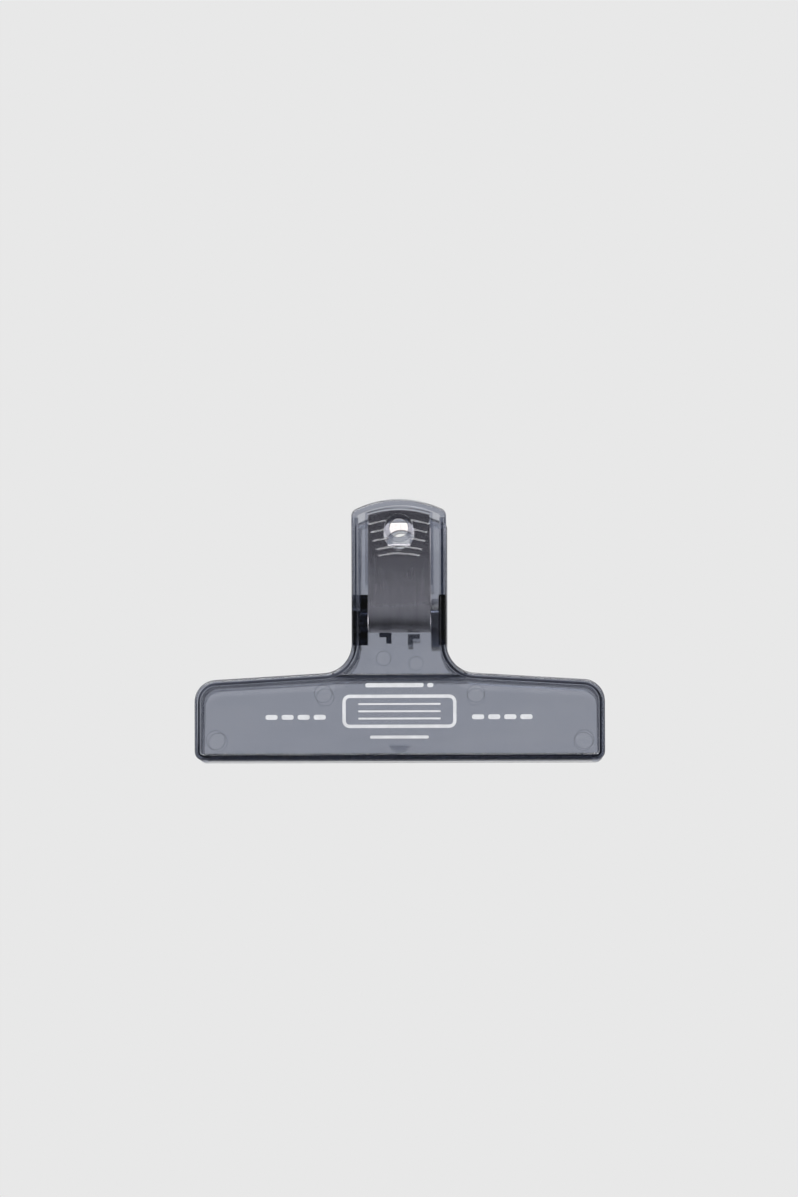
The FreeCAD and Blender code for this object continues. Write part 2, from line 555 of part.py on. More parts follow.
    # hanging hole, right through the ring and the panel
    sk = sketch_on(body, label + "_hole_line", "XZ_Plane")
    circle(sk, "hole", 0, "0", V["hole_height"], "Dims.hole_height", V["hole_radius"], "Dims.hole_radius")
    pocket(body, label + "_hanging_hole", sk, "20", middle=True)

    # low boss at the gate: the lower part of a disc, straight along its top
    sk = sketch_on(body, label + "_gate_line", "XZ_Plane")
    gr, gz, gc = 4.2, 7.3, 5.05
    gx = math.sqrt(gr * gr - (gz - gc) ** 2)
    ga = math.atan2(gc - gz, gx)
    sk.addGeometry([arc(0, gz, gr, math.pi - ga, 2 * math.pi + ga),
                    Part.LineSegment(vec(gx, gc), vec(-gx, gc))], False)
    sk.addConstraint(C("Coincident", 0, 2, 1, 1))
    sk.addConstraint(C("Coincident", 1, 2, 0, 1))
    sk.addConstraint(C("Horizontal", 1))
    sk.addConstraint(C("PointOnObject", 0, 3, -2))
    dim(sk, "gate_r", C("Radius", 0, gr), "%r" % gr)
    dim(sk, "gate_mid", C("DistanceY", -1, 1, 0, 3, gz), "%r" % gz)
    dim(sk, "gate_top", C("DistanceY", -1, 1, 1, 1, gc), "%r" % gc)
    pad(body, label + "_gate", sk, "0.7", inward=True)

    # shallow round marks that the ejector pins leave on the inner face
    sk = sketch_on(body, label + "_mark_lines", "XZ_Plane")
    for i, (x, z, r) in enumerate(((-5.2, 33.5, 2.4), (60.8, 6.7, 3.1), (-60.8, 6.7, 3.1),
                                   (25.2, 21.9, 2.9), (-25.2, 21.9, 2.9))):
        circle(sk, "mark%d" % i, x, "%r" % x, z, "%r" % z, r, "%r" % r)
    pocket(body, label + "_marks", sk, "Dims.mark_depth", away=True)

    # small rounds that a moulding has: the ring and the hole's edge
    z0, r0, r1 = V["hole_height"], V["hole_radius"], V["boss_radius"]

    def ring(e, r, y):
        b = e.BoundBox
        return (on_plane_y(e, y) and abs(b.XMax - r) < 0.02 and abs(b.XMin + r) < 0.02
                and abs((b.ZMin + b.ZMax) / 2 - z0) < 0.02)

    ytop = -(T + V["boss_height"])
    fillet(body, label + "_ring_round", "0.3", lambda e: ring(e, r1, ytop) or ring(e, r0, ytop))
    doc.recompute()
    return body


def lip_expr(y, z, i):
    """The lip's corner i in the lever's frame, as expressions of the cells."""
    tilt = "Dims.lever_tilt * 1deg"
    world = [("-Dims.lip_gap", "0"), ("-Dims.lip_gap", "Dims.lip_top"),
             ("-1.2", "Dims.lip_top + 0.1"), None, None, ("-3.55", "0")]

    def pair(k):
        wy, wz = world[k]
        return ("cos(%s) * (%s) + sin(%s) * (%s - Dims.pivot_world) + Dims.pivot_inset" % (tilt, wy, tilt, wz),
                "-sin(%s) * (%s) + cos(%s) * (%s - Dims.pivot_world) + Dims.pivot_up" % (tilt, wy, tilt, wz))

    if i == 3:
        return "-0.4", "(" + pair(2)[1] + ") + 0.15"
    if i == 4:
        return "-0.4", "(" + pair(5)[1] + ") + 0.5"
    return pair(i)


def build_spring(label):
    print(label)
    body = doc.addObject("PartDesign::Body", label)
    body.Label = label
    R, th = V["bend_radius"], V["spring_thick"]
    t = V["lever_tilt"] * RAD
    zc = V["pivot_world"] - V["bend_drop"] + R
    L = V["leg_reach"]
    ri = R - th
    sk = sketch_on(body, label + "_profile", "YZ_Plane")
    # the front leg leaves the bend at the point whose normal is square to it
    c, s_ = math.cos(t), math.sin(t)

    def pt(side, r, along):
        return (side * (r * c + along * s_), zc - r * s_ + along * c)

    up = math.pi / 2
    sk.addGeometry([
        arc(0, zc, R, math.pi + t, 2 * math.pi - t),                         # 0 outside of the bend
        Part.LineSegment(vec(*pt(1, R, 0)), vec(*pt(1, R, L))),              # 1 rear leg, outer face
        Part.LineSegment(vec(*pt(1, R, L)), vec(*pt(1, ri, L))),             # 2 its end
        Part.LineSegment(vec(*pt(1, ri, L)), vec(*pt(1, ri, 0))),            # 3 its inner face
        arc(0, zc, ri, math.pi + t, 2 * math.pi - t),                        # 4 inside of the bend
        Part.LineSegment(vec(*pt(-1, ri, 0)), vec(*pt(-1, ri, L))),          # 5 front leg, inner face
        Part.LineSegment(vec(*pt(-1, ri, L)), vec(*pt(-1, R, L))),           # 6 its end
        Part.LineSegment(vec(*pt(-1, R, L)), vec(*pt(-1, R, 0))),            # 7 its outer face
    ], False)
    touch(sk, (0, 2, 1, 1), (3, 2, 4, 2), (4, 1, 5, 1), (7, 2, 0, 1))
    C = Sketcher.Constraint
    for g1, p1, g2, p2 in ((1, 2, 2, 1), (2, 2, 3, 1), (5, 2, 6, 1), (6, 2, 7, 1)):
        sk.addConstraint(C("Coincident", g1, p1, g2, p2))
    sk.addConstraint(C("Perpendicular", 1, 2))
    sk.addConstraint(C("Perpendicular", 7, 6))
    sk.addConstraint(C("Coincident", 0, 3, 4, 3))
    sk.addConstraint(C("PointOnObject", 0, 3, -2))
    dim(sk, "bend_up", C("DistanceY", -1, 1, 0, 3, zc),
        "Dims.pivot_world - Dims.bend_drop + Dims.bend_radius")
    dim(sk, "bend_out", C("Radius", 0, R), "Dims.bend_radius")
    dim(sk, "bend_in", C("Radius", 4, ri), "Dims.bend_radius - Dims.spring_thick")
    dim(sk, "rear_lean", C("Angle", 1, up - t), "(90 - Dims.lever_tilt) * 1deg")
    dim(sk, "front_lean", C("Angle", 5, up + t), "(90 + Dims.lever_tilt) * 1deg")
    dim(sk, "rear_leg", C("Distance", 1, L), "Dims.leg_reach")
    dim(sk, "front_leg", C("Distance", 7, L), "Dims.leg_reach")
    pad(body, label + "_strip", sk, "Dims.spring_width", middle=True)

    sk = sketch_on(body, label + "_hole_line", "XZ_Plane")
    circle(sk, "hole", 0, "0", V["leg_hole_up"], "Dims.leg_hole_up", V["leg_hole"], "Dims.leg_hole")
    pocket(body, label + "_holes", sk, "60", middle=True)

    # both legs end in a shallow arch, parallel to the handle's tip
    half = V["spring_width"] / 2
    sk = sketch_on(body, label + "_end_line", "XZ_Plane")
    rc, zt = V["crown_radius"], V["leg_top"]
    x = half + 1.0
    zs, za = zt + 6.0, zt - rc + math.sqrt(rc * rc - x * x)
    g = math.acos(x / rc)
    sk.addGeometry([arc(0, zt - rc, rc, g, math.pi - g),
                    Part.LineSegment(vec(-x, za), vec(-x, zs)),
                    Part.LineSegment(vec(-x, zs), vec(x, zs)),
                    Part.LineSegment(vec(x, zs), vec(x, za))], False)
    for g1, p1, g2, p2 in ((0, 2, 1, 1), (1, 2, 2, 1), (2, 2, 3, 1), (3, 2, 0, 1)):
        sk.addConstraint(C("Coincident", g1, p1, g2, p2))
    sk.addConstraint(C("Vertical", 1))
    sk.addConstraint(C("Vertical", 3))
    sk.addConstraint(C("Horizontal", 2))
    sk.addConstraint(C("PointOnObject", 0, 3, -2))
    dim(sk, "arch", C("Radius", 0, rc), "Dims.crown_radius")
    dim(sk, "arch_up", C("DistanceY", -1, 1, 0, 3, zt - rc), "Dims.leg_top - Dims.crown_radius")
    dim(sk, "clear_r", C("DistanceX", -1, 1, 3, 1, x), "Dims.spring_width / 2 + 1")
    dim(sk, "clear_l", C("DistanceX", 1, 1, -1, 1, x), "Dims.spring_width / 2 + 1")
    dim(sk, "clear_up", C("DistanceY", -1, 1, 3, 1, zs), "Dims.leg_top + 6")
    pocket(body, label + "_arch", sk, "60", middle=True)

    def leg_corner(e):
        b = e.BoundBox
        return (abs(abs(b.XMin) - half) < 1e-4 and abs(b.XMax - b.XMin) < 1e-4
                and e.Length < 2 * th and b.ZMin > 75)

    fillet(body, label + "_corners", "Dims.leg_corner", leg_corner)
    return body


front = build_lever("front_lever")
rear = build_lever("rear_lever")
spring = build_spring("leaf_spring")

# The front lever leans back about the pivot by the tilt, and its pivot goes
# to (0, 0, pivot_world). The rear lever is the same, turned about Z.
tilt = V["lever_tilt"] * RAD
lean = FreeCAD.Rotation(FreeCAD.Vector(1, 0, 0), V["lever_tilt"])
pivot_local = FreeCAD.Vector(0, V["pivot_inset"], V["pivot_up"])
base = FreeCAD.Vector(0, 0, V["pivot_world"]) - lean.multVec(pivot_local)
front.Placement = FreeCAD.Placement(base, lean)
turn = FreeCAD.Placement(FreeCAD.Vector(0, 0, 0), FreeCAD.Rotation(FreeCAD.Vector(0, 0, 1), 180))
rear.Placement = turn.multiply(FreeCAD.Placement(base, lean))
doc.recompute()

# Nothing is written unless the whole document is sound.
for obj in doc.Objects:
    if "Invalid" in obj.State or "Error" in obj.State:
        raise RuntimeError("%s is %s" % (obj.Name, obj.State))
    if obj.TypeId == "Sketcher::SketchObject" and obj.solve() != 0:
        raise RuntimeError("%s doesn't solve" % obj.Name)
os.makedirs("parts", exist_ok=True)
for body in (front, rear, spring):
    shape = body.Shape
    if shape.isNull() or not shape.isValid() or len(shape.Solids) != 1 or not shape.Solids[0].isClosed():
        raise RuntimeError(body.Label + " isn't one valid closed solid")
    b = shape.BoundBox
    print("%-12s volume %9.2f mm3  x %.3f..%.3f  y %.3f..%.3f  z %.3f..%.3f" % (
        body.Label, shape.Volume, b.XMin, b.XMax, b.YMin, b.YMax, b.ZMin, b.ZMax))
    shape.exportStep("parts/%s.step" % body.Label)
for a, b in ((front, rear), (front, spring), (rear, spring)):
    common = a.Shape.common(b.Shape)
    gap = a.Shape.distToShape(b.Shape)[0]
    print("%s / %s: shared %.5f mm3, gap %.4f mm" % (a.Label, b.Label, common.Volume, gap))
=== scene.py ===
import math

import bmesh
import bpy
from mathutils import Matrix, Vector


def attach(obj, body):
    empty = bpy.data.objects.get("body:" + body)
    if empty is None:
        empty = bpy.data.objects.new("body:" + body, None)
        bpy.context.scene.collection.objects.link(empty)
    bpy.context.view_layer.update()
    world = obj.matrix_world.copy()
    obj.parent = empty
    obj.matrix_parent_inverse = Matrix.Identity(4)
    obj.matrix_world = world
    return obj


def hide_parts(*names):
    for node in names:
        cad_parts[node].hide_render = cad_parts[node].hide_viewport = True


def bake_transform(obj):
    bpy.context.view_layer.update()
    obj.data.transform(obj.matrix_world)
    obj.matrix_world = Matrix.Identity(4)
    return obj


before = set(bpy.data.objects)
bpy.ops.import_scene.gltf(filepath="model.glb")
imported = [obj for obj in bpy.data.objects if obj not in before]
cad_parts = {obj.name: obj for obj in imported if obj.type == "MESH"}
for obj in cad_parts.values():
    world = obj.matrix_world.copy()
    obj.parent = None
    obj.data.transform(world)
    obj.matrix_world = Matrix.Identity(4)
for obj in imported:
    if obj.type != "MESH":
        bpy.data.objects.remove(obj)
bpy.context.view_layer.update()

SCENE = bpy.context.scene
MM = 0.001

# ---------------------------------------------------------------- the clip's own geometry
# Each lever leans back by TILT about the pivot. A point of a lever is given
# as (x across, v up the plate from the jaw's bottom, w out of its inner face).
TILT = math.radians(7.0)
CT, ST = math.cos(TILT), math.sin(TILT)
PIVOT_Z, PIVOT_UP, PIVOT_IN = 47.3, 46.2, 8.9
PANEL = 1.8


def on_lever(x, v, w, side=-1):
    """World place, in metres, of a point of the front (side -1) or rear (+1) lever."""
    dv, dw = v - PIVOT_UP, w + PIVOT_IN
    y = -(dw * CT + dv * ST)
    z = PIVOT_Z + dv * CT - dw * ST
    if side > 0:
        x, y = -x, -y
    return Vector((x, y, z)) * MM


def outward(side=-1):
    return Vector((0, side * CT, -ST))


# ---------------------------------------------------------------- node helpers
def material(name):
    m = bpy.data.materials.new(name)
    m.use_nodes = True
    nt = m.node_tree
    nt.nodes.clear()
    out = nt.nodes.new("ShaderNodeOutputMaterial")
    return m, nt, out


def link(nt, a, b):
    nt.links.new(a, b)


def math_node(nt, op, a, b=None, c=None):
    n = nt.nodes.new("ShaderNodeMath")
    n.operation = op
    for i, v in enumerate((a, b, c)):
        if v is None:
            continue
        if hasattr(v, "is_linked"):
            nt.links.new(v, n.inputs[i])
        else:
            n.inputs[i].default_value = v
    return n.outputs[0]


def noise(nt, vector, scale, detail=3.0, rough=0.5, distortion=0.0):
    n = nt.nodes.new("ShaderNodeTexNoise")
    n.inputs["Scale"].default_value = scale
    n.inputs["Detail"].default_value = detail
    n.inputs["Roughness"].default_value = rough
    n.inputs["Distortion"].default_value = distortion
    nt.links.new(vector, n.inputs["Vector"])
    return n.outputs["Fac"]


def ramp(nt, value, lo, hi, out_lo=0.0, out_hi=1.0, smooth=False):
    n = nt.nodes.new("ShaderNodeMapRange")
    if smooth:
        n.interpolation_type = "SMOOTHSTEP"
    n.inputs["From Min"].default_value = lo
    n.inputs["From Max"].default_value = hi
    n.inputs["To Min"].default_value = out_lo
    n.inputs["To Max"].default_value = out_hi
    nt.links.new(value, n.inputs["Value"])
    return n.outputs["Result"]


def bump(nt, height, strength, distance):
    n = nt.nodes.new("ShaderNodeBump")
    n.inputs["Strength"].default_value = strength
    n.inputs["Distance"].default_value = distance
    nt.links.new(height, n.inputs["Height"])
    return n.outputs["Normal"]


def stretched(nt, coords, scale, rotate=(0, 0, 0)):
    n = nt.nodes.new("ShaderNodeMapping")
    n.inputs["Scale"].default_value = scale
    n.inputs["Rotation"].default_value = rotate
    nt.links.new(coords, n.inputs["Vector"])
    return n.outputs["Vector"]


# ---------------------------------------------------------------- materials
# Absorption of the smoke-tinted plastic, per metre, for red, green and blue.
ABSORB = (300.0, 286.0, 245.0)
DENSITY = 3000.0
# Ejector marks on each lever's inner face: x, v and radius.
MARKS = ((-5.2, 33.5, 2.4), (60.8, 6.7, 3.1), (-60.8, 6.7, 3.1), (25.2, 21.9, 2.9), (-25.2, 21.9, 2.9))


def smoke_plastic(name, side):
    """Injection-moulded clear plastic with a smoke tint: polished outside,
    finely matt inside, with faint flow lines, handling marks and painted
    shade on the ends of the hooks and walls."""
    m, nt, out = material(name)
    p = nt.nodes.new("ShaderNodeBsdfPrincipled")
    p.inputs["Transmission Weight"].default_value = 1.0
    p.inputs["IOR"].default_value = 1.49
    p.inputs["Specular IOR Level"].default_value = 0.5
    co = nt.nodes.new("ShaderNodeTexCoord").outputs["Object"]

    # height above the inner face, in metres, from the place on the lever
    dot = nt.nodes.new("ShaderNodeVectorMath")
    dot.operation = "DOT_PRODUCT"
    nrm = outward(side)
    dot.inputs[1].default_value = nrm
    link(nt, co, dot.inputs[0])
    base = nrm.dot(Vector((0, 0, PIVOT_Z * MM))) + PIVOT_IN * MM
    height = math_node(nt, "SUBTRACT", dot.outputs["Value"], base)
    inner = ramp(nt, height, 0.0007, 0.0011, 1.0, 0.0)

    # a faint variation of tint, as pigment and flow leave it
    flow = noise(nt, stretched(nt, co, (60, 60, 190), (0, 0.5, 0)), 1.0, 4.0, 0.55, 0.6)
    cloud = noise(nt, co, 38.0, 3.0, 0.5)
    tint = math_node(nt, "ADD", math_node(nt, "MULTIPLY", flow, 0.5), math_node(nt, "MULTIPLY", cloud, 0.5))
    mix = nt.nodes.new("ShaderNodeMix")
    mix.data_type = "RGBA"
    mix.inputs["A"].default_value = (0.955, 0.962, 0.975, 1)
    mix.inputs["B"].default_value = (0.995, 0.997, 1.0, 1)
    link(nt, ramp(nt, tint, 0.35, 0.65), mix.inputs["Factor"])
    # painted shade: the ends of the two L-shaped hooks are painted near black, for the dark they show where little
    # light gets through them
    across = nt.nodes.new("ShaderNodeSeparateXYZ")
    link(nt, co, across.inputs["Vector"])
    middle = math_node(nt, "LESS_THAN", math_node(nt, "ABSOLUTE", across.outputs["X"]), 0.008)
    hook_end_shade = math_node(nt, "MULTIPLY", ramp(nt, height, -0.0062, -0.0058, 1.0, 0.0), middle)
    # painted shade too: the end of the wall behind the jaw's rim and of the rib across the neck is painted dark grey,
    # for the dark band the wall shows edge-on
    rise = nt.nodes.new("ShaderNodeVectorMath")
    rise.operation = "DOT_PRODUCT"
    along = Vector((0, side * ST, CT))
    rise.inputs[1].default_value = along
    link(nt, co, rise.inputs[0])
    up = math_node(nt, "SUBTRACT", rise.outputs["Value"], along.dot(Vector((0, 0, PIVOT_Z * MM))) - PIVOT_UP * MM)
    wall_end_shade = math_node(nt, "MULTIPLY", math_node(nt, "MULTIPLY", ramp(nt, height, -0.0024, -0.0023, 1.0, 0.0),
                                               ramp(nt, height, -0.0028, -0.0027, 0.0, 1.0)),
                     ramp(nt, up, 0.036, 0.039, 1.0, 0.0))
    # painted shade colours: near black on the hook ends, dark grey on the wall ends
    dark = nt.nodes.new("ShaderNodeMix")
    dark.data_type = "RGBA"
    dark.inputs["B"].default_value = (0.16, 0.16, 0.17, 1)
    link(nt, hook_end_shade, dark.inputs["Factor"])
    link(nt, mix.outputs["Result"], dark.inputs["A"])
    wall_shade_mix = nt.nodes.new("ShaderNodeMix")
    wall_shade_mix.data_type = "RGBA"
    wall_shade_mix.inputs["B"].default_value = (0.26, 0.26, 0.29, 1)
    link(nt, wall_end_shade, wall_shade_mix.inputs["Factor"])
    link(nt, dark.outputs["Result"], wall_shade_mix.inputs["A"])
    # the fine witness lines round the ejector marks on the inner face
    lines = None
    for mx, mv, r in MARKS:
        du = math_node(nt, "ADD", across.outputs["X"], side * mx * MM)
        dv = math_node(nt, "SUBTRACT", up, mv * MM)
        d = math_node(nt, "SQRT", math_node(nt, "ADD", math_node(nt, "MULTIPLY", du, du),
                                            math_node(nt, "MULTIPLY", dv, dv)))
        off = math_node(nt, "ABSOLUTE", math_node(nt, "SUBTRACT", d, r * MM))
        one = ramp(nt, off, 0.00010, 0.00024, 1.0, 0.0)
        lines = one if lines is None else math_node(nt, "MAXIMUM", lines, one)
    face = math_node(nt, "LESS_THAN", math_node(nt, "ABSOLUTE", height), 0.0004)
    rings = nt.nodes.new("ShaderNodeMix")
    rings.data_type = "RGBA"
    rings.inputs["B"].default_value = (0.66, 0.66, 0.68, 1)
    link(nt, math_node(nt, "MULTIPLY", lines, face), rings.inputs["Factor"])
    link(nt, wall_shade_mix.outputs["Result"], rings.inputs["A"])
    link(nt, rings.outputs["Result"], p.inputs["Base Color"])

    # roughness: polished outside with light rub marks, matt inside
    rub = noise(nt, stretched(nt, co, (900, 900, 120), (0.2, 0.7, 0.1)), 1.0, 3.0, 0.6)
    blotch = noise(nt, co, 110.0, 4.0, 0.6)
    marks = math_node(nt, "MULTIPLY", ramp(nt, rub, 0.52, 0.72), ramp(nt, blotch, 0.45, 0.7))
    outside = math_node(nt, "MULTIPLY_ADD", marks, 0.06, 0.035)
    grain = noise(nt, co, 1500.0, 2.0, 0.5)
    inside = ramp(nt, grain, 0.3, 0.7, 0.09, 0.14)
    r = nt.nodes.new("ShaderNodeMix")
    r.data_type = "FLOAT"
    link(nt, inner, r.inputs["Factor"])
    link(nt, outside, r.inputs["A"])
    link(nt, inside, r.inputs["B"])
    link(nt, r.outputs["Result"], p.inputs["Roughness"])

    # surface: slight sink and orange peel outside, fine spark-erosion grain inside
    peel = noise(nt, co, 420.0, 2.0, 0.4)
    sink = noise(nt, co, 55.0, 1.0, 0.3)
    fine = math_node(nt, "MULTIPLY", math_node(nt, "MULTIPLY", grain, inner), 0.0000035)
    slow = math_node(nt, "ADD", math_node(nt, "MULTIPLY", peel, 0.0000007),
                     math_node(nt, "MULTIPLY", sink, 0.000004))
    link(nt, bump(nt, math_node(nt, "ADD", fine, slow), 1.0, 1.0), p.inputs["Normal"])
    link(nt, p.outputs["BSDF"], out.inputs["Surface"])

    v = nt.nodes.new("ShaderNodeVolumeAbsorption")
    v.inputs["Density"].default_value = DENSITY
    v.inputs["Color"].default_value = tuple(1 - a / DENSITY for a in ABSORB) + (1,)
    link(nt, v.outputs["Volume"], out.inputs["Volume"])
    return m


def spring_steel():
    """Cold-rolled spring strip: fine rolling lines along the strip, a slightly
    uneven tempered tone, duller towards the bend, with painted shade on the
    legs' outer faces near their ends."""
    m, nt, out = material("spring_steel")
    p = nt.nodes.new("ShaderNodeBsdfPrincipled")
    p.inputs["Metallic"].default_value = 1.0
    co = nt.nodes.new("ShaderNodeTexCoord").outputs["Object"]
    lines = noise(nt, stretched(nt, co, (5200, 60, 60)), 1.0, 4.0, 0.65)
    broad = noise(nt, stretched(nt, co, (420, 30, 30)), 1.0, 3.0, 0.5)
    cloud = noise(nt, co, 160.0, 4.0, 0.6)
    tone = math_node(nt, "ADD", math_node(nt, "MULTIPLY", lines, 0.35),
                     math_node(nt, "ADD", math_node(nt, "MULTIPLY", broad, 0.3),
                               math_node(nt, "MULTIPLY", cloud, 0.35)))
    mix = nt.nodes.new("ShaderNodeMix")
    mix.data_type = "RGBA"
    mix.inputs["A"].default_value = (0.44, 0.415, 0.415, 1)
    mix.inputs["B"].default_value = (0.57, 0.54, 0.54, 1)
    link(nt, ramp(nt, tone, 0.38, 0.62), mix.inputs["Factor"])

    # painted shade: the outer faces of the legs are painted darker towards their ends, for the shade in the narrowing
    # gap where they bear on the plates
    place = nt.nodes.new("ShaderNodeSeparateXYZ")
    link(nt, co, place.inputs["Vector"])
    facing = nt.nodes.new("ShaderNodeSeparateXYZ")
    link(nt, nt.nodes.new("ShaderNodeTexCoord").outputs["Normal"], facing.inputs["Vector"])
    outer = math_node(nt, "GREATER_THAN", math_node(nt, "MULTIPLY", place.outputs["Y"], facing.outputs["Y"]), 0.0)
    leg_top_shade = ramp(nt, math_node(nt, "MULTIPLY_ADD", cloud, 0.003, place.outputs["Z"]), 0.050, 0.077, 0.12, 0.86, smooth=True)
    # painted shade colour for the legs' outer faces near their ends
    dark = nt.nodes.new("ShaderNodeMix")
    dark.data_type = "RGBA"
    dark.inputs["B"].default_value = (0.13, 0.12, 0.13, 1)
    link(nt, math_node(nt, "MULTIPLY", outer, leg_top_shade), dark.inputs["Factor"])
    link(nt, mix.outputs["Result"], dark.inputs["A"])
    link(nt, dark.outputs["Result"], p.inputs["Base Color"])
    polish = ramp(nt, math_node(nt, "ADD", math_node(nt, "MULTIPLY", cloud, 0.6),
                                math_node(nt, "MULTIPLY", lines, 0.4)), 0.35, 0.65, 0.19, 0.28)
    dull = ramp(nt, place.outputs["Z"], 0.045, 0.054, 0.17, 0.0, smooth=True)
    link(nt, math_node(nt, "ADD", polish, dull), p.inputs["Roughness"])
    h = math_node(nt, "ADD", math_node(nt, "MULTIPLY", lines, 0.0000020),
                  math_node(nt, "MULTIPLY", cloud, 0.0000015))
    link(nt, bump(nt, h, 1.0, 1.0), p.inputs["Normal"])
    link(nt, p.outputs["BSDF"], out.inputs["Surface"])
    return m


def white_ink():
    """Pad-printed ink: dense white with pinholes and a slightly ragged film."""
    m, nt, out = material("white_ink")
    p = nt.nodes.new("ShaderNodeBsdfPrincipled")
    co = nt.nodes.new("ShaderNodeTexCoord").outputs["Object"]
    film = noise(nt, co, 2200.0, 3.0, 0.6)
    patch = noise(nt, co, 300.0, 3.0, 0.5)
    mix = nt.nodes.new("ShaderNodeMix")
    mix.data_type = "RGBA"
    mix.inputs["A"].default_value = (0.66, 0.67, 0.70, 1)
    mix.inputs["B"].default_value = (0.78, 0.79, 0.82, 1)
    link(nt, ramp(nt, math_node(nt, "ADD", math_node(nt, "MULTIPLY", film, 0.5),
                                math_node(nt, "MULTIPLY", patch, 0.5)), 0.35, 0.6),
         mix.inputs["Factor"])
    link(nt, mix.outputs["Result"], p.inputs["Base Color"])
    link(nt, ramp(nt, patch, 0.3, 0.7, 0.38, 0.55), p.inputs["Roughness"])
    link(nt, bump(nt, film, 1.0, 0.000004), p.inputs["Normal"])
    link(nt, p.outputs["BSDF"], out.inputs["Surface"])
    return m


MAT_FRONT = smoke_plastic("smoke_plastic_front", -1)
MAT_REAR = smoke_plastic("smoke_plastic_rear", 1)
MAT_STEEL = spring_steel()
MAT_INK = white_ink()

for name, mat in (("front_lever", MAT_FRONT), ("rear_lever", MAT_REAR)):
    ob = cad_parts[name]
    for i in range(len(ob.material_slots)):
        ob.material_slots[i].material = mat


# ---------------------------------------------------------------- leaf spring
HALF_W = 10.2
THICK = 0.8
R_MID = 9.42 - THICK / 2
BEND_Z = PIVOT_Z - 4.1 + 9.42
ARC_LEN = R_MID * (math.pi - 2 * TILT)
TANGENT_Z = BEND_Z - R_MID * ST
LEG_LEN = (82.35 - TANGENT_Z) / CT
HOLE_UP = (74.55 - TANGENT_Z) / CT
HOLE_R = 5.1
ARCH_R = 33.0
CORNER_R = 1.5


def strip_place(x, s, off):
    """The unrolled strip, bent to shape. s runs from -ARC/2 - leg (front leg's
    end) over 0 (the bottom of the bend) to the rear leg's end; off is the
    distance out of the U from the strip's middle surface."""
    half = ARC_LEN / 2
    if abs(s) <= half:
        a = s / R_MID
        y, z = math.sin(a), -math.cos(a)
        return Vector((x, y * (R_MID + off), BEND_Z + z * (R_MID + off))) * MM
    sg = 1 if s > 0 else -1
    along = abs(s) - half
    return Vector((x, sg * ((R_MID + off) * CT + along * ST),
                   BEND_Z - (R_MID + off) * ST + along * CT)) * MM


def leg_outline(n_side=10, n_arch=26, n_low=20):
    """Closed outline of the end of a leg round its hole, as (x, up from the
    tangent line), starting at the lower right and going round by the top."""
    low = HOLE_UP - 8.6
    apex = LEG_LEN
    cy = apex - ARCH_R
    # corner arc tangent to the side and to the arch
    cx = HALF_W - CORNER_R
    cz = cy + math.sqrt((ARCH_R - CORNER_R) ** 2 - cx * cx)
    g = math.atan2(cz - cy, cx)
    pts = []
    for i in range(n_side):
        pts.append((HALF_W, low + (cz - low) * i / n_side))
    for i in range(8):
        a = g * i / 8
        pts.append((cx + CORNER_R * math.cos(a), cz + CORNER_R * math.sin(a)))
    for i in range(n_arch + 1):
        a = g + (math.pi - 2 * g) * i / n_arch
        pts.append((ARCH_R * math.cos(a), cy + ARCH_R * math.sin(a)))
    for i in range(8):
        a = math.pi - g + g * (i + 1) / 8
        pts.append((-cx + CORNER_R * math.cos(a), cz + CORNER_R * math.sin(a)))
    for i in range(n_side):
        pts.append((-HALF_W, cz + (low - cz) * (i + 1) / n_side))
    lows = [(-HALF_W + 2 * HALF_W * i / n_low, low) for i in range(1, n_low)]
    pts += lows
    return pts, low


